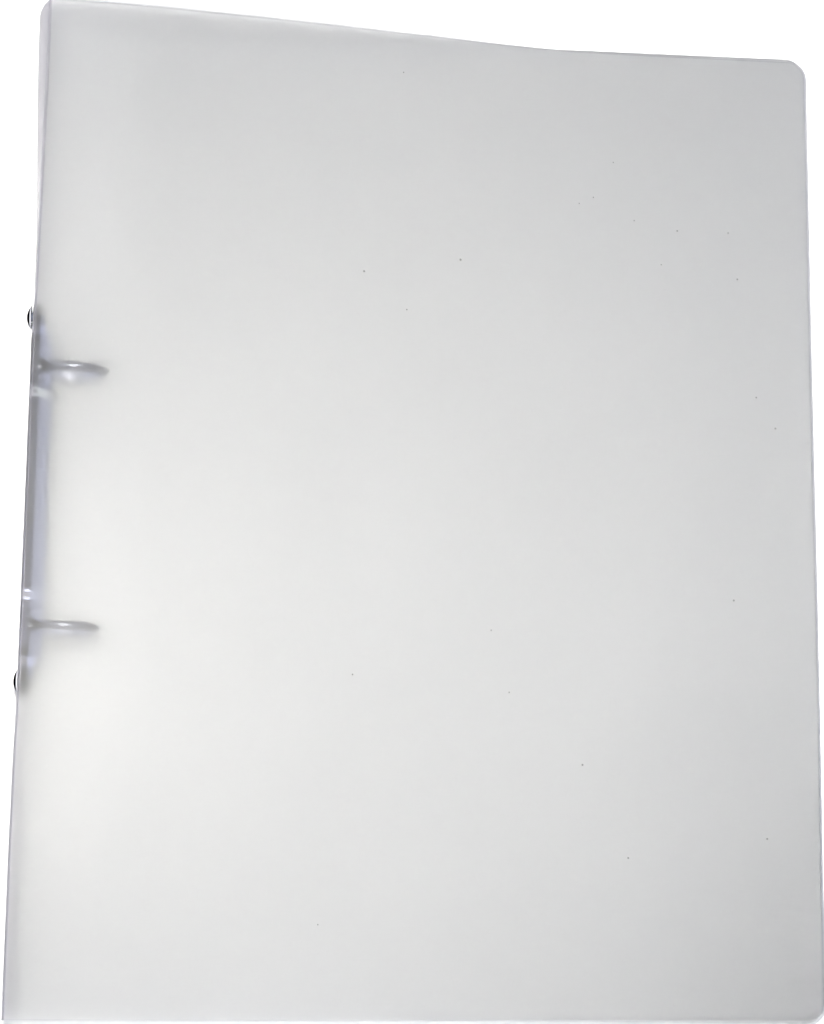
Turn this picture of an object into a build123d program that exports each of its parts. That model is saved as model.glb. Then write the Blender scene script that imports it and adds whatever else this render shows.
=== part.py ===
from build123d import *
import math
import os

# Two-ring binder, closed and lying on its back cover.
# +X from the spine to the free edge, +Y to the top edge, +Z up. Millimetres.

# Driving dimensions
SHEET = 0.8            # cover sheet thickness
BINDER_W = 250.0       # outer face of the spine to the free edge
BINDER_H = 312.0       # along the spine
SPINE_W = 25.0         # across the spine, outside to outside
CREASE_R = 1.6         # outside radius of a crease
CREASE_T = 0.5         # pressed thickness at a crease
CORNER_R = 6.0
LIE_GAP = 0.4          # between the covers where they lie flat

RING_PITCH = 80.0      # between the two rings
RING_WIRE = 2.8
RING_A = 9.9           # centreline semi-axis, away from the spine
RING_B = 7.2           # centreline semi-axis, across the spine
RING_U = 12.0          # ring centre from the inner face of the spine
RING_END = 138.0       # degrees of ellipse before the wire turns into the blade
RING_BEND = 2.6
RING_GAP = 0.15        # half the gap between the two tips
STAKE_R = 1.0
STAKE_HEAD_R = 1.5
STAKE_HEAD_T = 0.35
NIB_R = 0.6
NIB_L = 0.8
SOCKET_R = 0.95
SOCKET_L = 1.15

HOUSE_L = 122.0
HOUSE_HALF = 8.25      # half width
HOUSE_TOP = 6.0        # arch above the inner face of the spine
HOUSE_SIDE = 2.4       # straight side wall
HOUSE_T = 0.6
HOUSE_BODY = 45.5     # half length of the full-height arch
LIP_T = 1.2
LIP_IN = 6.5           # inner edge of the curled lip
FOOT_T = 1.0
FOOT_R = 4.5
WELL_R = 3.65          # round well over each rivet
SLOT_W = 3.6
SLOT_IN = 2.8

BLADE_T = 1.0
BLADE_HALF_L = 45.0
BLADE_PIVOT_U = 1.85
BLADE_PIVOT_V = 6.95
BLADE_INNER = 0.25     # inner edge from the middle
BLADE_TILT = 4.0       # degrees, inner edge towards the spine when closed

RIVET_PITCH = 113.0
RIVET_HEAD_R = 3.7
RIVET_HEAD_H = 1.4
RIVET_SHANK_R = 2.0
RIVET_HOLE_R = 2.05
RIVET_TAIL_R = 3.2
RIVET_TAIL_T = 0.8
RIVET_BORE_R = 1.25

# Height of the front cover's outer face above the table, against the
# distance from the outer face of the spine.
FRONT_CURVE = [
    (1.6, 25.0), (10, 24.85), (20, 24.3), (34, 22.9), (50, 20.8),
    (66, 18.7), (82, 16.3), (98, 13.7), (114, 11.0), (128, 8.6),
    (142, 6.1), (156, 3.9), (168, 2.7), (180, 2.15), (192, 2.0),
]

X_SPINE = RIVET_HEAD_H - (BINDER_W + RIVET_HEAD_H) / 2
X_IN = X_SPINE + SHEET
X_FREE = X_SPINE + BINDER_W
HALF_H = BINDER_H / 2
Z_MID = SPINE_W / 2
RING_Y = RING_PITCH / 2
RIVET_Y = RIVET_PITCH / 2


def prism_y(points, half):
    """Closed polygon of (x, z) points, extruded along Y from -half to half."""
    wire = Wire.make_polygon([Vector(x, -half, z) for x, z in points], close=True)
    return extrude(Face(wire), amount=2 * half, dir=(0, 1, 0))


def uv(u, v, y=0.0):
    """A point by its distance from the spine's inner face and from mid-spine."""
    return Vector(X_IN + u, y, Z_MID + v)


def save(shape, name, label):
    shape.label = label
    export_step(shape, "parts/" + name + ".step")


os.makedirs("parts", exist_ok=True)

# ---------------------------------------------------------------- cover sheet
def cover_outline(x0, x1, z0, z1):
    """Cover-shaped block with the two free corners rounded."""
    block = Pos((x0 + x1) / 2, 0, (z0 + z1) / 2) * Box(x1 - x0, BINDER_H, z1 - z0)
    corners = block.edges().filter_by(Axis.Z).sort_by(Axis.X)[-2:]
    return fillet(corners, CORNER_R)


back_cover = cover_outline(X_SPINE + CREASE_R, X_FREE, 0, SHEET)
save(back_cover, "back_cover", "back_cover")


def crease(zc, sign):
    """Quarter-round strip of thinner sheet, centred CREASE_R in from both faces."""
    xc = X_SPINE + CREASE_R
    outer, inner = CREASE_R, CREASE_R - CREASE_T
    n = 12
    pts = []
    for r, order in ((outer, range(n + 1)), (inner, range(n, -1, -1))):
        for i in order:
            a = math.radians(180 + 90 * i / n)
            pts.append((xc + r * math.cos(a), zc + sign * r * math.sin(a)))
    return prism_y(pts, HALF_H)


save(crease(CREASE_R, 1), "back_crease", "back_crease")
save(crease(SPINE_W - CREASE_R, -1), "front_crease", "front_crease")

spine = Pos(X_SPINE + SHEET / 2, 0, Z_MID) * Box(SHEET, BINDER_H, SPINE_W - 2 * CREASE_R)
for sy in (-1, 1):
    spine -= Pos(X_SPINE, sy * RIVET_Y, Z_MID) * Rot(0, 90, 0) * Cylinder(RIVET_HOLE_R, 4)
save(spine, "spine_panel", "spine_panel")

# The front cover bows down from the spine and lies flat on the back cover.
outer_pts = [Vector(X_SPINE + x, -HALF_H, z) for x, z in FRONT_CURVE]
outer_edge = Spline(*outer_pts, tangents=[(1, 0, 0), (1, 0, 0)])
inner_pts = []
STEPS = 40
for i in range(STEPS + 1):
    p = outer_edge @ (i / STEPS)
    d = outer_edge % (i / STEPS)
    nrm = Vector(d.Z, 0, -d.X).normalized()
    if nrm.Z > 0:
        nrm = nrm * -1
    inner_pts.append(p + nrm * SHEET)
inner_edge = Spline(*inner_pts, tangents=[(1, 0, 0), (1, 0, 0)])
flat_top = SHEET + LIE_GAP + SHEET
a0, a1 = outer_pts[0], outer_pts[-1]
b0, b1 = inner_pts[0], inner_pts[-1]
free_top = Vector(X_FREE - 0.3, -HALF_H, flat_top)
free_low = Vector(X_FREE - 0.3, -HALF_H, flat_top - SHEET)
front_wire = Wire([
    outer_edge.edge(),
    Edge.make_line(a1, free_top),
    Edge.make_line(free_top, free_low),
    Edge.make_line(free_low, b1),
    inner_edge.edge(),
    Edge.make_line(b0, a0),
])
front_cover = extrude(Face(front_wire), amount=BINDER_H, dir=(0, 1, 0))
front_cover = front_cover & cover_outline(X_SPINE - 5, X_FREE - 0.3, -5, SPINE_W + 5)
save(front_cover, "front_cover", "front_cover")

# ------------------------------------------------------------------- housing
SIDE = 12.0


def arch(half, side, top, low):
    """Cross-section: straight sides, then a shallow arch to the top."""
    pts = [uv(low, half), uv(side, half)]
    sag = top - side
    rad = (half * half + sag * sag) / (2 * sag)
    cu = top - rad
    span = math.asin(half / rad)
    n = 24
    for i in range(1, n):
        a = span * (1 - 2 * i / n)
        pts.append(uv(cu + rad * math.cos(a), rad * math.sin(a)))
    pts += [uv(side, -half), uv(low, -half)]
    return [(p.X, p.Z) for p in pts]


def plan(points, u0, u1):
    """Polygon of (y, v) points as a block from u0 to u1 above the spine."""
    wire = Wire.make_polygon([uv(u0, v, y) for y, v in points], close=True)
    return extrude(Face(wire), amount=u1 - u0, dir=(1, 0, 0))


def profile(points):
    """Polygon of (y, u) points as a block across the whole spine."""
    wire = Wire.make_polygon([uv(u, -SIDE, y) for y, u in points], close=True)
    return extrude(Face(wire), amount=2 * SIDE, dir=(0, 0, 1))


def hill(points):
    """Mirror a list of (y, u) points, given from the end inwards, in y."""
    return points + [(-y, u) for y, u in reversed(points)]


def rim(points):
    """Mirror a list of (y, v) points in y and in v."""
    top = [(-y, v) for y, v in reversed(points)] + points
    return top + [(y, -v) for y, v in reversed(top)]


# Past the arch the roof and the sides slope down to the round end of each foot.
well = RIVET_Y - WELL_R
outer_body = prism_y(arch(HOUSE_HALF, HOUSE_SIDE, HOUSE_TOP, 0.0), HOUSE_L / 2)
outer_plan = plan(rim([(HOUSE_BODY, HOUSE_HALF + 0.5), (RIVET_Y + 1.0, FOOT_R - 0.3)]), -1, 8)
for sy in (-1, 1):
    outer_plan += Pos(X_IN + 3.5, sy * RIVET_Y, Z_MID) * Rot(0, 90, 0) * Cylinder(FOOT_R, 9)
outer_side = profile(hill([(HOUSE_L / 2 + 1, 0.0), (HOUSE_L / 2 + 1, FOOT_T - 0.15), (HOUSE_BODY, HOUSE_TOP + 0.2)]))
housing = outer_body & outer_plan & outer_side

top_in = arch(HOUSE_HALF - HOUSE_T, HOUSE_SIDE, HOUSE_TOP - HOUSE_T, LIP_T)
cavity_pts = [(X_IN - 0.5, Z_MID + LIP_IN), (X_IN + LIP_T, Z_MID + LIP_IN)] + top_in + \
             [(X_IN + LIP_T, Z_MID - LIP_IN), (X_IN - 0.5, Z_MID - LIP_IN)]
cavity = prism_y(cavity_pts, HOUSE_L / 2)
cavity_plan = plan(rim([(HOUSE_BODY - 0.2, HOUSE_HALF - HOUSE_T + 0.3), (well - 0.65, FOOT_R + 1.0)]), -1, 8)
cavity_side = profile(hill([(well - 0.65, -1.0), (well - 0.65, 3.2), (HOUSE_BODY - 0.4, HOUSE_TOP - 0.4)]))
housing -= cavity & cavity_plan & cavity_side

for sy in (-1, 1):
    y = sy * RING_Y
    for sv in (-1, 1):
        # slot for the wire, from the shoulder of the arch down the side wall
        slot = Pos(X_IN + 5.0, y, Z_MID + sv * (SLOT_IN + 3.5)) * Box(5.6, SLOT_W, 7.0)
        housing -= slot
        # notches through the side wall, level with the spine
        for along, across, depth in ((31.2, 7.5, 3.0), (51.1, 6.3, 1.8)):
            housing -= Pos(X_IN + 1.0, sy * along, Z_MID + sv * across) * Box(2.8, 2.2, depth)
    # open well for the rivet's tail
    housing -= Pos(X_IN + FOOT_T + 4, sy * RIVET_Y, Z_MID) * Rot(0, 90, 0) * Cylinder(WELL_R, 8)
    housing -= Pos(X_IN, sy * RIVET_Y, Z_MID) * Rot(0, 90, 0) * Cylinder(RIVET_HOLE_R, 6)
save(housing, "ring_housing", "ring_housing")

# -------------------------------------------------------------------- blades
tilt = math.radians(BLADE_TILT)


def blade_point(along, normal, sv):
    """A point by its distance inwards from the pivot and above the blade."""
    u = BLADE_PIVOT_U - along * math.sin(tilt) + normal * math.cos(tilt)
    v = BLADE_PIVOT_V - along * math.cos(tilt) - normal * math.sin(tilt)
    return u, sv * v


reach = (BLADE_PIVOT_V - BLADE_INNER) / math.cos(tilt)


def stake_place(sv):
    """Distance inwards from the pivot at which the wire meets the blade."""
    start = math.radians(RING_END)
    u = RING_U + RING_A * math.cos(start)
    v = RING_B * math.sin(start)
    du, dv = -RING_A * math.sin(start), RING_B * math.cos(start)
    ang0 = math.atan2(dv, du)
    du, dv = du / math.hypot(du, dv), dv / math.hypot(du, dv)
    # the wire turns until it runs along the blade's normal, towards the spine
    tu, tv = -math.cos(tilt), math.sin(tilt)
    ang1 = math.atan2(tv, tu)
    return u, v, (du, dv), (tu, tv)


def bend_end():
    """End of the bend, in (u, v), for the front half."""
    u, v, (du, dv), (tu, tv) = stake_place(1)
    # the bend's centre is on the side the wire turns to
    nu, nv = -dv, du
    if nu * tu + nv * tv < 0:
        nu, nv = dv, -du
    cu, cv = u + nu * RING_BEND, v + nv * RING_BEND
    eu, ev = -tv, tu
    if (cu + eu * RING_BEND - u) ** 2 + (cv + ev * RING_BEND - v) ** 2 > \
       (cu - eu * RING_BEND - u) ** 2 + (cv - ev * RING_BEND - v) ** 2:
        eu, ev = -eu, -ev
    end = (cu + eu * RING_BEND, cv + ev * RING_BEND)
    # middle of the arc
    mu, mv = (u - cu) + (end[0] - cu), (v - cv) + (end[1] - cv)
    k = RING_BEND / math.hypot(mu, mv)
    return (u, v), (cu + mu * k, cv + mv * k), end, (tu, tv)


start_uv, mid_uv, end_uv, down = bend_end()
# distance inwards from the pivot to the line of the shank
rel_u, rel_v = end_uv[0] - BLADE_PIVOT_U, end_uv[1] - BLADE_PIVOT_V
stake_along = -(rel_u * math.sin(tilt) + rel_v * math.cos(tilt))
stake_above = rel_u * math.cos(tilt) - rel_v * math.sin(tilt)


def blade(sv):
    n = 10
    pts = []
    for i in range(n + 1):
        a = math.radians(90 + 180 * i / n)
        pts.append(blade_point(BLADE_T / 2 * math.cos(a), BLADE_T / 2 * math.sin(a), sv))
    pts += [blade_point(reach, -BLADE_T / 2, sv), blade_point(reach, BLADE_T / 2, sv)]
    body = prism_y([(X_IN + u, Z_MID + v) for u, v in pts], BLADE_HALF_L)
    for sy in (-1, 1):
        u, v = blade_point(stake_along, 0, sv)
        body -= Pos(X_IN + u, sy * RING_Y, Z_MID + v) * Rot(0, 90 + sv * BLADE_TILT, 0) * Cylinder(STAKE_R, 4)
        # relief notches in the inner edge
        u, v = blade_point(reach, 0, sv)
        body -= Pos(X_IN + u, sy * 22.0, Z_MID + v) * Box(4, 6.0, 2.4)
    return body


front_blade = blade(1)
back_blade = blade(-1)
save(front_blade, "front_blade", "front_blade")
save(back_blade, "back_blade", "back_blade")

# --------------------------------------------------------------------- rings
def half_ring(y, sv, socket):
    n = 28
    a_tip = math.asin(RING_GAP / RING_B)
    ell = []
    for i in range(n + 1):
        a = a_tip + (math.radians(RING_END) - a_tip) * i / n
        ell.append(uv(RING_U + RING_A * math.cos(a), sv * RING_B * math.sin(a), y))
    end_a = math.radians(RING_END)
    arc = Edge.make_spline(
        ell,
        tangents=[(-math.sin(a_tip) * RING_A, 0, sv * RING_B * math.cos(a_tip)),
                  (-math.sin(end_a) * RING_A, 0, sv * RING_B * math.cos(end_a))])
    bend = Edge.make_three_point_arc(
        uv(start_uv[0], sv * start_uv[1], y), uv(mid_uv[0], sv * mid_uv[1], y), uv(end_uv[0], sv * end_uv[1], y))
    path = [arc, bend]
    blade_top = BLADE_T / 2
    drop = stake_above - blade_top
    top_u, top_v = blade_point(stake_along, blade_top, sv)
    if drop > 0.02:
        path.append(Edge.make_line(uv(end_uv[0], sv * end_uv[1], y), uv(top_u, top_v, y)))
    wire = Wire(path)
    tip = ell[0]
    section = Plane(origin=tip, z_dir=wire.tangent_at(0)) * Circle(RING_WIRE / 2)
    body = sweep(section, path=wire, transition=Transition.ROUND)
    # shank through the blade, and its flattened end
    low_u, low_v = blade_point(stake_along, -BLADE_T / 2, sv)
    lean = 90 + sv * BLADE_TILT
    mid_u, mid_v = blade_point(stake_along, 0, sv)
    body += Pos(X_IN + mid_u, y, Z_MID + mid_v) * Rot(0, lean, 0) * Cylinder(STAKE_R, BLADE_T + 0.02)
    hu, hv = blade_point(stake_along, -BLADE_T / 2 - STAKE_HEAD_T / 2, sv)
    body += Pos(X_IN + hu, y, Z_MID + hv) * Rot(0, lean, 0) * Cylinder(STAKE_HEAD_R, STAKE_HEAD_T)
    if socket:
        body -= Pos(tip.X, y, tip.Z + sv * (SOCKET_L / 2 - 0.15)) * Cylinder(SOCKET_R, SOCKET_L + 0.3)
    else:
        nib = Pos(tip.X, y, tip.Z - sv * (NIB_L / 2 - 0.1)) * Cylinder(NIB_R, NIB_L)
        far = nib.faces().sort_by(Axis.Z)[0 if sv > 0 else -1]
        nib = fillet(far.edges(), 0.3)
        body += nib
    return body


for name, y in (("upper", RING_Y), ("lower", -RING_Y)):
    front = half_ring(y, 1, False)
    back = half_ring(y, -1, True)
    save(front, name + "_front_ring", name + "_front_ring")
    save(back, name + "_back_ring", name + "_back_ring")

# -------------------------------------------------------------------- rivets
def rivet(y):
    cap_r = (RIVET_HEAD_R ** 2 + RIVET_HEAD_H ** 2) / (2 * RIVET_HEAD_H)
    ball = Pos(X_SPINE - RIVET_HEAD_H + cap_r, y, Z_MID) * Sphere(cap_r)
    keep = Pos(X_SPINE - 1, y, Z_MID) * Box(2, 12, 12)
    head = ball & keep
    grip = SHEET + FOOT_T
    shank = Pos(X_SPINE + grip / 2, y, Z_MID) * Rot(0, 90, 0) * Cylinder(RIVET_SHANK_R, grip + 0.04)
    tail = Pos(X_SPINE + grip + RIVET_TAIL_T / 2, y, Z_MID) * Rot(0, 90, 0) * Cylinder(RIVET_TAIL_R, RIVET_TAIL_T)
    rim_edges = tail.edges().filter_by(GeomType.CIRCLE).sort_by(Axis.X)[-1:]
    tail = fillet(rim_edges, 0.55)
    body = head + shank + tail
    body -= Pos(X_SPINE + grip + RIVET_TAIL_T - 0.9, y, Z_MID) * Rot(0, 90, 0) * Cylinder(RIVET_BORE_R, 2.4)
    return body


rivets = Compound(children=[rivet(RIVET_Y), rivet(-RIVET_Y)])
save(rivets, "spine_rivets", "spine_rivets")
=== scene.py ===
import math
import random

import bmesh
import bpy
import numpy as np
from mathutils import Matrix, Vector


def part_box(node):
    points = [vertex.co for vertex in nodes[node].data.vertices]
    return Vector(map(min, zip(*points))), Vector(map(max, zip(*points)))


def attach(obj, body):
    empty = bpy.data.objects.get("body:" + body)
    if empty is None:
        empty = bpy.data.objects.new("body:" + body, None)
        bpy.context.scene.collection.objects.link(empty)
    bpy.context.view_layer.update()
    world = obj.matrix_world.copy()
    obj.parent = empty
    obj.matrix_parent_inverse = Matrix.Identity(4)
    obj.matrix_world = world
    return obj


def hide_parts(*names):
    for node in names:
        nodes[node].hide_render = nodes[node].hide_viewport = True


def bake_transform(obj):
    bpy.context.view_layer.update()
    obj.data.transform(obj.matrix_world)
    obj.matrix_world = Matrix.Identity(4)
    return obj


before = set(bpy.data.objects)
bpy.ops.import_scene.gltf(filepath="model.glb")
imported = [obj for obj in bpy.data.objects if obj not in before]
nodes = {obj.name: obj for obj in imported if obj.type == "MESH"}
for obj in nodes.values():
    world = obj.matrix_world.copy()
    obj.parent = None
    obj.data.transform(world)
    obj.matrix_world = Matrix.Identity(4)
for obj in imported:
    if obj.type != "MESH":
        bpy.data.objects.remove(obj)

random.seed(7)
rng = np.random.default_rng(7)
MM = 0.001
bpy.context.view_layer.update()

# ------------------------------------------------------------ sizes from CAD
spine_lo, spine_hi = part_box("spine_panel")
back_lo, back_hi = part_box("back_cover")
front_lo, front_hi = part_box("front_cover")
crease_lo, crease_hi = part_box("front_crease")
XS = spine_lo.x                        # outer face of the spine
T = spine_hi.x - spine_lo.x            # sheet
S = front_hi.z                         # across the spine
HALF = back_hi.y                       # half the height of the covers
X_FREE = back_hi.x
RC = 0.9 * MM                          # sharp outside radius of the scored crease
TC = 0.72 * MM                         # pressed thickness at a crease
CORNER = 6 * MM
Z_MID = (spine_lo.z + spine_hi.z) / 2

# Outer height of the front cover against the distance from the spine, mm.
CURVE = [(1.6, 25.0), (10, 24.85), (20, 24.3), (34, 22.9), (50, 20.8), (66, 18.7), (82, 16.3), (98, 13.7),
         (114, 11.0), (128, 8.6), (142, 6.1), (156, 3.9), (168, 2.7), (180, 2.15), (192, 2.0), (249.7, 2.0)]


def hermite(points, x):
    """Smooth curve through points, flat at both ends."""
    p = np.array(points, float)
    d = np.gradient(p[:, 1], p[:, 0])
    d[0] = d[-1] = d[-2] = 0
    i = np.clip(np.searchsorted(p[:, 0], x) - 1, 0, len(p) - 2)
    h = p[i + 1, 0] - p[i, 0]
    t = np.clip((x - p[i, 0]) / h, 0, 1)
    return ((2 * t**3 - 3 * t**2 + 1) * p[i, 1] + (t**3 - 2 * t**2 + t) * h * d[i]
            + (-2 * t**3 + 3 * t**2) * p[i + 1, 1] + (t**3 - t**2) * h * d[i + 1])


def smooth(t):
    t = np.clip(t, 0, 1)
    return t * t * (3 - 2 * t)


# The closed binder stands a little out of square: towards its top end the
# front crease leans in over the back one and the spine bows outwards.
LEAN_FRONT = [(-156, -0.25), (-107, -0.10), (-80, 0.22), (-62, 0.62), (0, 0.92), (28, 1.00), (45, 1.20), (62, 1.65),
              (91, 2.15), (123, 2.60), (156, 2.85)]
LEAN_BACK = [(-156, 0.0), (50, 0.0), (65, -0.18), (98, -0.40), (131, -0.75), (156, -0.95)]


def along(table, y):
    p = np.array(table)
    return float(np.interp(y / MM, p[:, 0], p[:, 1])) * MM


def bow(y, k):
    return -1.7 * MM * float(smooth((y - 0.066) / 0.08)) * 4 * k * (1 - k)


def skew(y, xo):
    """The free edges run in slightly towards the top end."""
    return -0.65 * MM * float(smooth((y + 0.06) / 0.2)) * float(smooth((xo - XS) / 0.2))


# ----------------------------------------------------------------- materials


def new_material(name):
    m = bpy.data.materials.new(name)
    m.use_nodes = True
    m.node_tree.nodes.clear()
    return m, m.node_tree


def node(tree, kind, **values):
    n = tree.nodes.new(kind)
    for k, v in values.items():
        if k in n.inputs:
            n.inputs[k].default_value = v
        else:
            setattr(n, k, v)
    return n


def ramp(tree, stops, interpolation="LINEAR"):
    r = tree.nodes.new("ShaderNodeValToRGB")
    r.color_ramp.interpolation = interpolation
    while len(r.color_ramp.elements) < len(stops):
        r.color_ramp.elements.new(0.5)
    for e, (pos, col) in zip(r.color_ramp.elements, stops):
        e.position = pos
        e.color = (*col, 1) if len(col) == 3 else col
    return r


# Dust specks on the front cover: distance from the spine and height, mm.
SPECKS = [(102.3, -52.2), (176.3, -77.7), (208.5, 96.3), (187.5, 118.6), (176.1, 104.1), (180.8, 106.4),
          (146.8, -36.6), (116.5, 142.7), (225.4, 96.3), (228.2, 80.8), (136.3, 82.1), (104.2, 75.5), (118.5, 64.2),
          (194.3, 99.2), (203.1, 84.7), (234.8, -99.6), (190.7, -106.2), (92.9, -127.7), (225.2, -24.7),
          (152.7, -55.8), (233.8, 41.6), (239.9, 31.6)]


def frosted_sheet(name="frosted_polypropylene", edgeways_shade_tone=(0.60, 0.595, 0.65), milk_mix=0.04, milk_and_shade_tone=(0.965, 0.968, 0.972), specular=0.5):
    """Frosted polypropylene: rough see-through sheet with a milky haze and a fine matt grain.
    UV "sheet" is the place on the flat sheet in metres; UV "rim" is the distance to its outline, and the weight of the
    painted edgeways shade: 1 on the spine, half on the creases."""
    m, t = new_material(name)
    out = node(t, "ShaderNodeOutputMaterial")
    uv = node(t, "ShaderNodeUVMap")
    uv.uv_map = "sheet"
    rim_uv = node(t, "ShaderNodeUVMap")
    rim_uv.uv_map = "rim"
    rim_xy = node(t, "ShaderNodeSeparateXYZ")
    t.links.new(rim_uv.outputs["UV"], rim_xy.inputs["Vector"])
    # fine extrusion grain and a slow waviness
    grain = node(t, "ShaderNodeTexNoise", Scale=1500.0, Detail=3.0, Roughness=0.6)
    slow = node(t, "ShaderNodeTexNoise", Scale=14.0, Detail=2.0, Roughness=0.5)
    mottle = node(t, "ShaderNodeTexNoise", Scale=420.0, Detail=3.0, Roughness=0.65)
    for n in (grain, slow, mottle):
        t.links.new(uv.outputs["UV"], n.inputs["Vector"])
    rough = ramp(t, [(0.3, (0.42,) * 3), (0.7, (0.46,) * 3)])
    t.links.new(slow.outputs["Fac"], rough.inputs["Fac"])
    b1 = node(t, "ShaderNodeBump", Strength=0.10, Distance=0.00003)
    t.links.new(grain.outputs["Fac"], b1.inputs["Height"])
    # clear sheet with faint mottling, and painted shade darkening it at the cut edge
    tone = ramp(t, [(0.30, (0.972, 0.974, 0.975)), (0.70, (0.992, 0.993, 0.993))])
    t.links.new(mottle.outputs["Fac"], tone.inputs["Fac"])
    rim_at = node(t, "ShaderNodeMapRange")
    rim_at.inputs["From Min"].default_value = 0.0
    rim_at.inputs["From Max"].default_value = 2 * MM
    t.links.new(rim_xy.outputs["X"], rim_at.inputs["Value"])
    rim = ramp(t, [(0.0, (0.80, 0.80, 0.81)), (0.16, (0.84, 0.84, 0.85)), (0.26, (1.0, 1.0, 1.0))])
    t.links.new(rim_at.outputs["Result"], rim.inputs["Fac"])
    colour = node(t, "ShaderNodeMix", data_type="RGBA", blend_type="MULTIPLY")
    colour.inputs["Factor"].default_value = 1.0
    t.links.new(tone.outputs["Color"], colour.inputs[6])
    t.links.new(rim.outputs["Color"], colour.inputs[7])
    # painted shade: the spine and creases, looked through edgeways, are darkened towards a violet grey
    side = ramp(t, [(0.0, (1, 1, 1)), (1.0, edgeways_shade_tone)])
    t.links.new(rim_xy.outputs["Y"], side.inputs["Fac"])
    shaded = node(t, "ShaderNodeMix", data_type="RGBA", blend_type="MULTIPLY")
    shaded.inputs["Factor"].default_value = 1.0
    t.links.new(colour.outputs[2], shaded.inputs[6])
    t.links.new(side.outputs["Color"], shaded.inputs[7])
    result = shaded.outputs[2]
    clear = None
    for x, y in SPECKS:
        r = random.uniform(0.22, 0.40) * MM
        d = node(t, "ShaderNodeVectorMath", operation="DISTANCE")
        d.inputs[1].default_value = (x * MM, y * MM, 0)
        t.links.new(uv.outputs["UV"], d.inputs[0])
        f = node(t, "ShaderNodeMapRange")
        f.inputs["From Min"].default_value = r * 0.5
        f.inputs["From Max"].default_value = r * 1.3
        f.inputs["To Min"].default_value = random.uniform(0.15, 0.50)
        t.links.new(d.outputs["Value"], f.inputs["Value"])
        if clear is None:
            clear = f.outputs["Result"]
        else:
            k = node(t, "ShaderNodeMath", operation="MINIMUM")
            t.links.new(clear, k.inputs[0])
            t.links.new(f.outputs["Result"], k.inputs[1])
            clear = k.outputs[0]
    specked = node(t, "ShaderNodeVectorMath", operation="SCALE")
    t.links.new(result, specked.inputs[0])
    t.links.new(clear, specked.inputs["Scale"])
    p = node(t, "ShaderNodeBsdfPrincipled")
    p.inputs["IOR"].default_value = 1.2
    p.inputs["Transmission Weight"].default_value = 1.0
    p.inputs["Specular IOR Level"].default_value = specular
    t.links.new(specked.outputs[0], p.inputs["Base Color"])
    t.links.new(rough.outputs["Color"], p.inputs["Roughness"])
    t.links.new(b1.outputs["Normal"], p.inputs["Normal"])
    haze = node(t, "ShaderNodeBsdfDiffuse")
    haze.inputs["Color"].default_value = (*milk_and_shade_tone, 1)
    back = node(t, "ShaderNodeBsdfTranslucent")
    back.inputs["Color"].default_value = (*milk_and_shade_tone, 1)
    milk = node(t, "ShaderNodeMixShader")
    milk.inputs["Fac"].default_value = 0.5
    t.links.new(haze.outputs[0], milk.inputs[1])
    t.links.new(back.outputs[0], milk.inputs[2])
    # painted highlight: milkier, so lighter, just inside the cut edge
    milk_with_edge_highlight = ramp(t, [(0.0, (milk_mix,) * 3), (0.22, (milk_mix,) * 3), (0.34, (milk_mix + 0.04,) * 3), (0.62, (milk_mix,) * 3)])
    t.links.new(rim_at.outputs["Result"], milk_with_edge_highlight.inputs["Fac"])
    mix = node(t, "ShaderNodeMixShader")
    t.links.new(milk_with_edge_highlight.outputs["Color"], mix.inputs["Fac"])
    t.links.new(p.outputs[0], mix.inputs[1])
    t.links.new(milk.outputs[0], mix.inputs[2])
    t.links.new(mix.outputs[0], out.inputs["Surface"])
    return m


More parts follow.
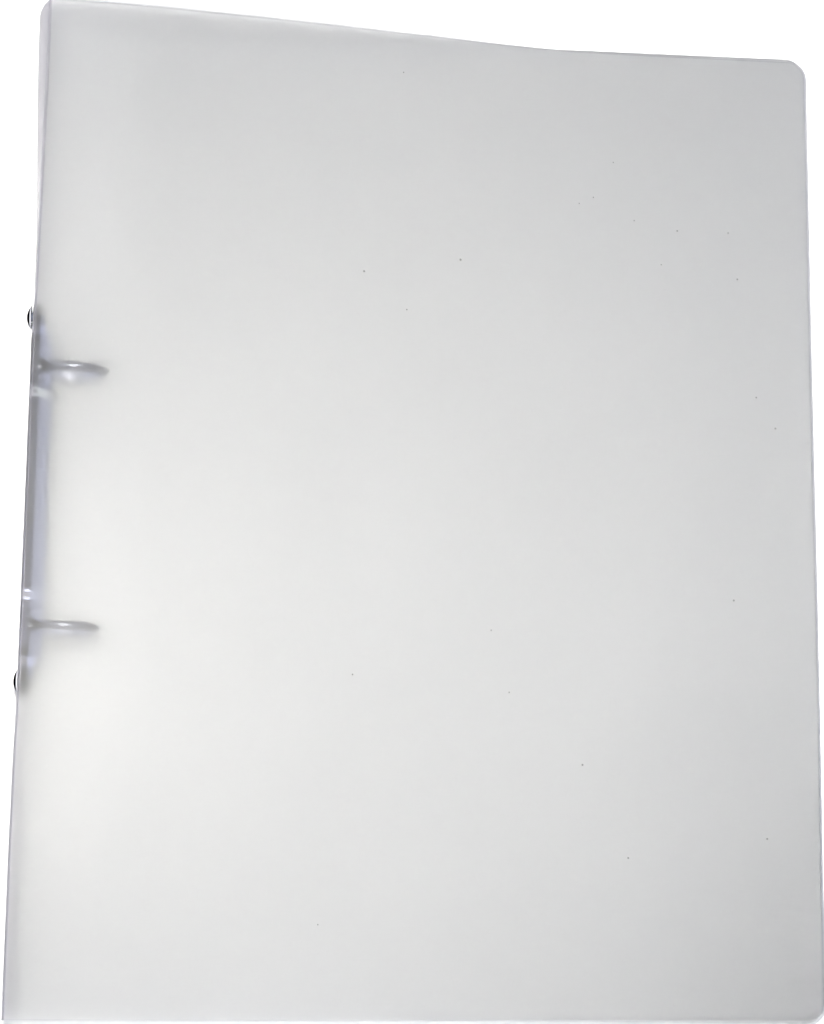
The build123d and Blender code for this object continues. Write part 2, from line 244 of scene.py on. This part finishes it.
def plated(name, base, rough_lo, rough_hi, scale, brushed=0.0, shade_bands=None, edge=None, notch_light=(), upper_half_shade=None, least=0.02):
    """Nickel plate with fine drawing or rolling marks and uneven polish.
    shade_bands: (x, colour factor) stops in metres across the plate, away from the spine, painted shade and highlight;
    notch_light: (place along the plate, extra brightness) where the last stop shows, painted light at the notches;
    upper_half_shade: painted shade, the tone of the upper half against the lower half;
    least: darkest painted-shade band factor towards the top end."""
    m, t = new_material(name)
    out = node(t, "ShaderNodeOutputMaterial")
    co = node(t, "ShaderNodeTexCoord")
    mp = node(t, "ShaderNodeMapping")
    mp.inputs["Scale"].default_value = (1.0, 1.0 - 0.9 * brushed, 1.0)
    t.links.new(co.outputs["Object"], mp.inputs["Vector"])
    n = node(t, "ShaderNodeTexNoise", Scale=scale, Detail=4.0, Roughness=0.6)
    t.links.new(mp.outputs["Vector"], n.inputs["Vector"])
    cloud = node(t, "ShaderNodeTexNoise", Scale=scale * 0.06, Detail=3.0, Roughness=0.55)
    t.links.new(co.outputs["Object"], cloud.inputs["Vector"])
    r = ramp(t, [(0.3, (rough_lo,) * 3), (0.72, (rough_hi,) * 3)])
    t.links.new(cloud.outputs["Fac"], r.inputs["Fac"])
    dark = tuple(c * 0.86 for c in base)
    c = ramp(t, [(0.25, dark), (0.6, base)])
    t.links.new(cloud.outputs["Fac"], c.inputs["Fac"])
    colour = c.outputs["Color"]
    if shade_bands:
        x0, x1 = shade_bands[0][0], shade_bands[-1][0]
        sep = node(t, "ShaderNodeSeparateXYZ")
        t.links.new(co.outputs["Object"], sep.inputs["Vector"])
        near = node(t, "ShaderNodeMapRange")
        near.inputs["From Min"].default_value = x0
        near.inputs["From Max"].default_value = x1
        t.links.new(sep.outputs["X"], near.inputs["Value"])
        shade = ramp(t, [((x - x0) / (x1 - x0), col) for x, col in shade_bands])
        at = near.outputs["Result"]
        bright = None
        # painted light where the notches in the wall are
        if notch_light:
            for g, gain in notch_light:
                away = node(t, "ShaderNodeMath", operation="COMPARE")
                away.inputs[1].default_value = g
                away.inputs[2].default_value = 1.3 * MM
                t.links.new(sep.outputs["Y"], away.inputs[0])
                most = node(t, "ShaderNodeMath", operation="MAXIMUM")
                t.links.new(at, most.inputs[0])
                t.links.new(away.outputs[0], most.inputs[1])
                at = most.outputs[0]
                more = node(t, "ShaderNodeMath", operation="MULTIPLY_ADD")
                t.links.new(away.outputs[0], more.inputs[0])
                more.inputs[1].default_value = gain
                more.inputs[2].default_value = 1.0
                if bright is None:
                    bright = more.outputs[0]
                else:
                    both = node(t, "ShaderNodeMath", operation="MAXIMUM")
                    t.links.new(bright, both.inputs[0])
                    t.links.new(more.outputs[0], both.inputs[1])
                    bright = both.outputs[0]
        t.links.new(at, shade.inputs["Fac"])
        # painted shade: the dark bands are lighter towards the top end
        lift = node(t, "ShaderNodeMapRange")
        lift.inputs["From Min"].default_value = -12 * MM
        lift.inputs["From Max"].default_value = 12 * MM
        lift.inputs["To Min"].default_value = 0.02
        lift.inputs["To Max"].default_value = least
        t.links.new(sep.outputs["Y"], lift.inputs["Value"])
        floor_tone = node(t, "ShaderNodeVectorMath", operation="MAXIMUM")
        t.links.new(shade.outputs["Color"], floor_tone.inputs[0])
        t.links.new(lift.outputs["Result"], floor_tone.inputs[1])
        blend = node(t, "ShaderNodeMix", data_type="RGBA", blend_type="MULTIPLY")
        blend.inputs["Factor"].default_value = 1.0
        t.links.new(c.outputs["Color"], blend.inputs[6])
        t.links.new(floor_tone.outputs[0], blend.inputs[7])
        colour = blend.outputs[2]
        if bright:
            lit = node(t, "ShaderNodeVectorMath", operation="SCALE")
            t.links.new(colour, lit.inputs[0])
            t.links.new(bright, lit.inputs["Scale"])
            colour = lit.outputs[0]
    # painted shade: the upper half is darker than the lower half
    if upper_half_shade:
        up = node(t, "ShaderNodeSeparateXYZ")
        t.links.new(co.outputs["Object"], up.inputs["Vector"])
        high = node(t, "ShaderNodeMapRange")
        high.inputs["From Min"].default_value = Z_MID - 3 * MM
        high.inputs["From Max"].default_value = Z_MID + 2 * MM
        high.inputs["To Min"].default_value = 1.0
        high.inputs["To Max"].default_value = upper_half_shade
        t.links.new(up.outputs["Z"], high.inputs["Value"])
        upper_half_shaded = node(t, "ShaderNodeVectorMath", operation="SCALE")
        t.links.new(colour, upper_half_shaded.inputs[0])
        t.links.new(high.outputs["Result"], upper_half_shaded.inputs["Scale"])
        colour = upper_half_shaded.outputs[0]
    b = node(t, "ShaderNodeBump", Strength=0.12, Distance=0.00002)
    t.links.new(n.outputs["Fac"], b.inputs["Height"])
    p = node(t, "ShaderNodeBsdfPrincipled")
    p.inputs["Metallic"].default_value = 1.0
    if edge:
        p.inputs["Specular Tint"].default_value = (*edge, 1)
    t.links.new(colour, p.inputs["Base Color"])
    t.links.new(r.outputs["Color"], p.inputs["Roughness"])
    t.links.new(b.outputs["Normal"], p.inputs["Normal"])
    t.links.new(p.outputs[0], out.inputs["Surface"])
    return m


SHEET = frosted_sheet()
# painted shade: the spine, looked through edgeways, is darkened to a violet grey, with a darker haze and no specular
SPINE = frosted_sheet("frosted_spine_painted_shade", (0.56, 0.555, 0.60), 0.12, (0.42, 0.42, 0.48), 0.0)
IN = spine_hi.x
# painted shade and highlight: a darkened bluish base and edge tint, a near-black band along the lip next to the spine,
# lighter towards the top of the arch, painted light at the notches of the wall, and the dark band lighter towards the
# top end
HOUSING = plated("nickel_housing", (0.37, 0.39, 0.53), 0.14, 0.22, 900.0, brushed=0.8, edge=(0.35, 0.36, 0.42),
                 shade_bands=[(IN, (0.1, 0.1, 0.11)), (IN + 0.5 * MM, (0.1, 0.1, 0.11)), (IN + 0.8 * MM, (0.02, 0.02, 0.025)),
                        (IN + 2.4 * MM, (0.02, 0.02, 0.025)), (IN + 2.9 * MM, (1, 1, 1)),
                        (IN + 4.0 * MM, (1.1, 1.1, 1.1)), (IN + 6.2 * MM, (1.7, 1.7, 1.65))], least=0.13,
                 notch_light=((51.1 * MM, 0.0), (31.2 * MM, 0.5), (-31.2 * MM, -0.5), (-51.1 * MM, -0.4)))
BLADE = plated("dull_nickel_blade", (0.22, 0.23, 0.27), 0.28, 0.42, 1200.0, brushed=0.9)
# painted shade: the upper halves of the rings are darker, the lower halves kept light
WIRE = plated("nickel_wire", (0.70, 0.715, 0.81), 0.12, 0.22, 1400.0, upper_half_shade=0.35)
# painted dark reflection: the dome is near black on its outer face and keeps a dark edge tint, lighter towards the
# spine
RIVET = plated("polished_rivet", (0.50, 0.51, 0.55), 0.10, 0.18, 1600.0, edge=(0.12, 0.12, 0.14),
               shade_bands=[(XS - 1.5 * MM, (0.03, 0.03, 0.04)), (XS - 0.45 * MM, (0.04, 0.04, 0.05)),
                      (XS - 0.25 * MM, (1, 1, 1)), (XS + 5 * MM, (1, 1, 1))])

# -------------------------------------------------------------------- sheets


def sheet_mesh(name, profile, thick, ymax, rows, place, rim, shift=0.0):
    """Closed sheet. profile: outer (x, z) points; thick: thickness at each; the
    inner face lies to the right of the direction of travel. place moves (x, y, z)."""
    prof = np.array(profile)
    d = np.gradient(prof, axis=0)
    d /= np.linalg.norm(d, axis=1)[:, None]
    nrm = np.stack([d[:, 1], -d[:, 0]], axis=1)
    inner = prof + nrm * np.array(thick)[:, None]
    ns = len(prof)
    # weight of the painted edgeways shade: 1 on the spine, half on the creases
    edgeways_shade_weight = 1.0 if shift == 2.0 else 0.5
    # rows closer together near the two ends
    u = np.linspace(-1, 1, rows)
    u = np.sign(u) * (1 - (1 - np.abs(u)) ** 1.25)
    verts, faces, flat = [], [], []
    run = shift + np.concatenate([[0], np.cumsum(np.linalg.norm(np.diff(prof, axis=0), axis=1))])
    for layer in (prof, inner):
        for i in range(ns):
            for j in range(rows):
                y = u[j] * ymax[i]
                verts.append(place(layer[i, 0], y, layer[i, 1], prof[i, 0]))
                flat.append((run[i], y, rim(prof[i, 0], y), edgeways_shade_weight if prof[i, 0] < XS + RC - 0.05 * MM else 0.0))
    idx = lambda l, i, j: l * ns * rows + i * rows + j
    for i in range(ns - 1):
        for j in range(rows - 1):
            faces.append((idx(0, i, j), idx(0, i + 1, j), idx(0, i + 1, j + 1), idx(0, i, j + 1)))
            faces.append((idx(1, i, j), idx(1, i, j + 1), idx(1, i + 1, j + 1), idx(1, i + 1, j)))
        for j, flip in ((0, False), (rows - 1, True)):
            f = (idx(0, i, j), idx(1, i, j), idx(1, i + 1, j), idx(0, i + 1, j))
            faces.append(f[::-1] if flip else f)
    for i, flip in ((0, True), (ns - 1, False)):
        for j in range(rows - 1):
            f = (idx(0, i, j), idx(1, i, j), idx(1, i, j + 1), idx(0, i, j + 1))
            faces.append(f[::-1] if flip else f)
    me = bpy.data.meshes.new(name)
    me.from_pydata([tuple(v) for v in verts], [], faces)
    sheet_uv, rim_uv = me.uv_layers.new(name="sheet"), me.uv_layers.new(name="rim")
    for loop in me.loops:
        a, y, r, side = flat[loop.vertex_index]
        sheet_uv.data[loop.index].uv = (a, y)
        rim_uv.data[loop.index].uv = (r, side)
    bm = bmesh.new()
    bm.from_mesh(me)
    bmesh.ops.recalc_face_normals(bm, faces=bm.faces[:])
    bm.to_mesh(me)
    bm.free()
    for poly in me.polygons:
        poly.use_smooth = True
    ob = bpy.data.objects.new(name, me)
    bpy.context.scene.collection.objects.link(ob)
    bev = ob.modifiers.new("edge", "BEVEL")
    bev.width = 0.16 * MM
    bev.segments = 3
    bev.limit_method = "ANGLE"
    bev.angle_limit = math.radians(50)
    bev.harden_normals = True
    me.materials.append(SPINE if shift == 2.0 else SHEET)
    return ob


def cover_rim(x_free, r=CORNER):
    """Distance from a point of a cover to its outline; the crease side has none."""
    def rim(x, y):
        qx, qy = x - (x_free - r), abs(y) - (HALF - r)
        if qx > 0 and qy > 0:
            return max(r - math.hypot(qx, qy), 0.0)
        return max(min(x_free - x, HALF - abs(y)), 0.0)
    return rim


def strip_rim(x, y):
    return max(HALF - abs(y), 0.0)


def corner_ymax(xs, x_free, r=CORNER):
    out = []
    for x in xs:
        d = x - (x_free - r)
        out.append(HALF if d <= 0 else HALF - r + math.sqrt(max(r * r - d * d, 0)))
    return out


def arc(cx, cz, r, a0, a1, n):
    return [(cx + r * math.cos(math.radians(a0 + (a1 - a0) * i / n)),
             cz + r * math.sin(math.radians(a0 + (a1 - a0) * i / n))) for i in range(n + 1)]


def columns(x0, x_free, step):
    flat = list(np.arange(x0, x_free - CORNER - step / 2, step))
    flat = list(np.linspace(x0, x_free - CORNER, len(flat) + 1))
    ends = [x_free - CORNER + CORNER * math.sin(math.radians(90 * k / 14)) for k in range(1, 15)]
    return flat + ends


def thickness(xs, x_edge, n_arc):
    """Thinner along the pressed crease, full sheet a short way past it."""
    out = [TC] * n_arc
    for x in xs:
        out.append(TC + (T - TC) * float(smooth((x - x_edge) / (1.6 * MM))))
    return out


# front cover with the front crease
x_front = front_hi.x
xs = columns(XS + RC, x_front, 3.6 * MM)
xs = [xs[0], xs[0] + 0.5 * MM, xs[0] + 1.0 * MM, xs[0] + 1.7 * MM] + xs[1:]
curve_x = (np.array(xs) - XS) / MM
heights = hermite(CURVE, curve_x) * MM
prof = arc(XS + RC, S - RC, RC, 180, 90, 10)[:-1] + list(zip(xs, heights))
ymax = [HALF] * 10 + corner_ymax(xs, x_front)
bulge = [(rng.uniform(-1, 1), rng.uniform(-1, 1), rng.uniform(0, 6.28)) for _ in range(5)]


def place_front(x, y, z, xo):
    s = (xo - XS) / (x_front - XS)
    near = 1 - float(smooth((xo - XS) / 0.14))
    dx = along(LEAN_FRONT, y) * (0.2 + 0.8 * near) + skew(y, xo)
    drop = 0.5 * along(LEAN_FRONT, y) ** 2 / S * near
    wave = 0.0
    for k, (a, b, ph) in enumerate(bulge):
        wave += math.sin((a * xo + b * y) * 28 + ph)
    wave *= 0.05 * MM * math.sin(math.pi * min(max(s, 0), 1)) ** 2
    return (x + dx, y - 1.3 * MM * s, z - drop + wave)


front_sheet = sheet_mesh("front_cover_sheet", prof, [TC] * 10 + thickness(xs, XS + RC, 0), ymax, 91, place_front, cover_rim(x_front))

# back cover with the back crease
xs = columns(XS + RC, X_FREE, 8 * MM)
xs = [xs[0], xs[0] + 0.5 * MM, xs[0] + 1.0 * MM, xs[0] + 1.7 * MM] + xs[1:]
prof = list(reversed([(x, 0.0) for x in xs])) + arc(XS + RC, RC, RC, 270, 180, 10)[1:]
ymax = list(reversed(corner_ymax(xs, X_FREE))) + [HALF] * 10
thick = list(reversed(thickness(xs, XS + RC, 0))) + [TC] * 10


def place_back(x, y, z, xo):
    dx = along(LEAN_BACK, y) * (1 - float(smooth((xo - XS) / 0.05))) + skew(y, xo)
    return (x + dx, y, z)


back_sheet = sheet_mesh("back_cover_sheet", prof, thick, ymax, 61, place_back, cover_rim(X_FREE), shift=1.0)

# spine
zs = list(np.linspace(RC, S - RC, 15))
prof = [(XS, z) for z in zs]
edge = [min(z - RC, S - RC - z) for z in zs]
thick = [TC + (T - TC) * float(smooth(e / (1.6 * MM))) for e in edge]


def place_spine(x, y, z, xo):
    k = z / S
    dx = along(LEAN_BACK, y) * (1 - k) + along(LEAN_FRONT, y) * k + bow(y, min(max((z - RC) / (S - 2 * RC), 0), 1))
    drop = 0.5 * along(LEAN_FRONT, y) ** 2 / S * k
    return (x + dx, y, z - drop)


spine_sheet = sheet_mesh("spine_sheet", prof, thick, [HALF] * 15, 91, place_spine, strip_rim, shift=2.0)

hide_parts("front_cover", "front_crease")
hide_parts("back_cover", "back_crease")
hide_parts("spine_panel")
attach(spine_sheet, "spine")
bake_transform(front_sheet)
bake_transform(back_sheet)

# ------------------------------------------------------------- metal details
for name, mat in (("ring_housing", HOUSING), ("front_blade", BLADE), ("back_blade", BLADE),
                  ("upper_front_ring", WIRE), ("upper_back_ring", WIRE), ("lower_front_ring", WIRE),
                  ("lower_back_ring", WIRE), ("spine_rivets", RIVET)):
    ob = nodes[name]
    ob.data.materials.clear()
    ob.data.materials.append(mat)

# -------------------------------------------------------------------- camera
cam_data = bpy.data.cameras.new("camera")
cam_data.sensor_width = 36.0
cam_data.sensor_fit = "AUTO"
cam_data.lens = 36.0 * 2293.72 / 1024.0
cam_data.clip_start, cam_data.clip_end = 0.05, 20
cam = bpy.data.objects.new("camera", cam_data)
bpy.context.scene.collection.objects.link(cam)
rx, ry, rz = -0.17, 0.0939, -0.0248
Rx = Matrix.Rotation(rx, 3, "X")
Ry = Matrix.Rotation(ry, 3, "Y")
Rz = Matrix.Rotation(rz, 3, "Z")
R = Rz @ Ry @ Rx
t_cam = Vector((-119.7677, 2.5327, -714.5352)) * MM
centre = -(R.transposed() @ t_cam) + Vector((XS, 0, 0))
cam.matrix_world = Matrix.Translation(centre) @ R.transposed().to_4x4()
bpy.context.scene.camera = cam

# --------------------------------------------------------------------- stage


def pale(name, level, warm=0.0):
    m, t = new_material(name)
    o = node(t, "ShaderNodeOutputMaterial")
    d = node(t, "ShaderNodeBsdfDiffuse")
    d.inputs["Color"].default_value = (level, level, level * (1 - warm), 1)
    t.links.new(d.outputs[0], o.inputs["Surface"])
    return m


bpy.ops.mesh.primitive_plane_add(size=6, location=(0, 0, -0.0004))
floor = bpy.context.object
floor.name = "floor"
floor.data.materials.append(pale("pale_floor", 0.93))

# painted shadow: a grey sheet under the binder, as far out as the raised front cover hides it
Z_SHADOW_SHEET = -0.0002


def onto_shadow_sheet(x, y, z):
    k = (centre.z - Z_SHADOW_SHEET) / (centre.z - z)
    return centre.x + (x - centre.x) * k, centre.y + (y - centre.y) * k


IN_BY = 0.3 * MM
OUT = 0.3 * MM
outline = []
for x in np.linspace(X_FREE - CORNER, XS + 1.0 * MM, 40):
    z = float(hermite(CURVE, (x - XS) / MM)) * MM
    s = (x - XS) / (x_front - XS)
    fx, fy = onto_shadow_sheet(x + along(LEAN_FRONT, HALF) * (1 - float(smooth((x - XS) / 0.14))), HALF - 1.3 * MM * s, z)
    outline.append((fx, max(fy - IN_BY, HALF + OUT)))
for y in np.linspace(HALF, -HALF, 30):
    fx, fy = onto_shadow_sheet(XS + along(LEAN_FRONT, y), y, S - RC)
    bx, by = onto_shadow_sheet(XS + along(LEAN_BACK, y) + 0.3 * bow(y, 0.5), y, RC)
    outline.append((min(fx, bx) + IN_BY, fy if fx < bx else min(by, HALF + 4 * MM)))
R_OUT = CORNER + OUT
DIP = 1.0 * MM
for x in np.linspace(XS + 2 * MM, X_FREE - CORNER, 30):
    z = float(hermite(CURVE, (x - XS) / MM)) * MM
    fx, fy = onto_shadow_sheet(x, -HALF - 1.3 * MM * (x - XS) / (x_front - XS), z)
    outline.append((x, min(fy + IN_BY, -HALF - OUT)))
for k in range(1, 8):
    a = math.radians(90 * k / 8)
    outline.append((X_FREE - CORNER + R_OUT * math.sin(a), -HALF - DIP + CORNER - R_OUT * math.cos(a)))
outline += [(X_FREE + OUT, -HALF + CORNER)]
for y in np.linspace(-HALF + 30 * MM, HALF - CORNER, 12):
    outline.append((X_FREE + OUT + skew(y, X_FREE), y))
cx = X_FREE - CORNER + skew(HALF, X_FREE)
for k in range(1, 8):
    a = math.radians(90 * k / 8)
    outline.append((cx + R_OUT * math.cos(a), HALF - CORNER + R_OUT * math.sin(a)))
me = bpy.data.meshes.new("mat")
me.from_pydata([(x, y, Z_SHADOW_SHEET) for x, y in outline], [], [tuple(range(len(outline)))])
mat = bpy.data.objects.new("mat", me)
bpy.context.scene.collection.objects.link(mat)
gm, gt = new_material("painted_shadow_sheet")
gc = node(gt, "ShaderNodeTexCoord")
# painted shadow: the sheet darkens towards the lower right
gd = node(gt, "ShaderNodeVectorMath", operation="DOT_PRODUCT")
gd.inputs[1].default_value = (0.707, -0.707, 0)
gt.links.new(gc.outputs["Object"], gd.inputs[0])
gr = node(gt, "ShaderNodeMapRange")
gr.inputs["From Min"].default_value = 0.08
gr.inputs["From Max"].default_value = 0.20
gt.links.new(gd.outputs["Value"], gr.inputs["Value"])
gs = ramp(gt, [(0.0, (0.63,) * 3), (0.45, (0.595,) * 3), (0.8, (0.52,) * 3), (1.0, (0.45,) * 3)])
gt.links.new(gr.outputs["Result"], gs.inputs["Fac"])
gx = node(gt, "ShaderNodeSeparateXYZ")
gt.links.new(gc.outputs["Object"], gx.inputs["Vector"])
# painted shade: darker past the top edge of the back cover, where only the front cover lies over it
ge = node(gt, "ShaderNodeMapRange")
ge.inputs["From Min"].default_value = HALF - 0.5 * MM
ge.inputs["From Max"].default_value = HALF + 1.0 * MM
ge.inputs["To Min"].default_value = 1.0
ge.inputs["To Max"].default_value = 0.77
gt.links.new(gx.outputs["Y"], ge.inputs["Value"])
gk = node(gt, "ShaderNodeVectorMath", operation="SCALE")
gt.links.new(gs.outputs["Color"], gk.inputs[0])
gt.links.new(ge.outputs["Result"], gk.inputs["Scale"])
# painted light: a little lighter away from the lamp, evening out its falloff
gl = node(gt, "ShaderNodeVectorMath", operation="DOT_PRODUCT")
gl.inputs[1].default_value = (0.402, -0.292, 0)
gt.links.new(gc.outputs["Object"], gl.inputs[0])
gp = node(gt, "ShaderNodeMath", operation="ADD")
gp.inputs[1].default_value = 1.096
gt.links.new(gl.outputs["Value"], gp.inputs[0])
# painted light: lighter towards the top left, offsetting the shade of the raised spine
gu = node(gt, "ShaderNodeMapRange", interpolation_type="SMOOTHSTEP")
gu.inputs["From Min"].default_value = XS + 45 * MM
gu.inputs["From Max"].default_value = XS
gu.inputs["To Min"].default_value = 0.0
gu.inputs["To Max"].default_value = 0.20
gt.links.new(gx.outputs["X"], gu.inputs["Value"])
gv = node(gt, "ShaderNodeMapRange", interpolation_type="SMOOTHSTEP")
gv.inputs["From Min"].default_value = 0.02
gv.inputs["From Max"].default_value = 0.09
gt.links.new(gx.outputs["Y"], gv.inputs["Value"])
gw = node(gt, "ShaderNodeMath", operation="MULTIPLY_ADD")
gt.links.new(gu.outputs["Result"], gw.inputs[0])
gt.links.new(gv.outputs["Result"], gw.inputs[1])
gt.links.new(gp.outputs[0], gw.inputs[2])
gq = node(gt, "ShaderNodeVectorMath", operation="SCALE")
gt.links.new(gk.outputs[0], gq.inputs[0])
gt.links.new(gw.outputs[0], gq.inputs["Scale"])
gb = node(gt, "ShaderNodeBsdfDiffuse")
gt.links.new(gq.outputs[0], gb.inputs["Color"])
go = node(gt, "ShaderNodeOutputMaterial")
gt.links.new(gb.outputs[0], go.inputs["Surface"])
me.materials.append(gm)

world = bpy.data.worlds.new("studio")
bpy.context.scene.world = world
world.use_nodes = True
wt = world.node_tree
wc = node(wt, "ShaderNodeTexCoord")
ws = node(wt, "ShaderNodeSeparateXYZ")
wt.links.new(wc.outputs["Generated"], ws.inputs["Vector"])
wr = ramp(wt, [(0.0, (0.235, 0.245, 0.283)), (1.0, (0.93, 0.968, 1.115))])
wt.links.new(ws.outputs["Z"], wr.inputs["Fac"])
wt.links.new(wr.outputs["Color"], wt.nodes["Background"].inputs["Color"])
wt.nodes["Background"].inputs["Strength"].default_value = 0.666


def area(name, loc, target, size, power, color=(1, 1, 1), shape="DISK"):
    la = bpy.data.lights.new(name, "AREA")
    la.shape = shape
    la.size = size
    la.energy = power
    la.color = color
    ob = bpy.data.objects.new(name, la)
    ob.location = loc
    ob.rotation_mode = "QUATERNION"
    ob.rotation_quaternion = (Vector(target) - Vector(loc)).to_track_quat("-Z", "Y")
    ob.visible_camera = False
    ob.visible_glossy = False
    bpy.context.scene.collection.objects.link(ob)
    return ob


area("key", (-0.09, -0.02, 0.387), (-0.09, -0.02, 0.0), 0.07, 4.62, (1.0, 0.974, 0.905))

bpy.context.scene.view_settings.view_transform = "Standard"
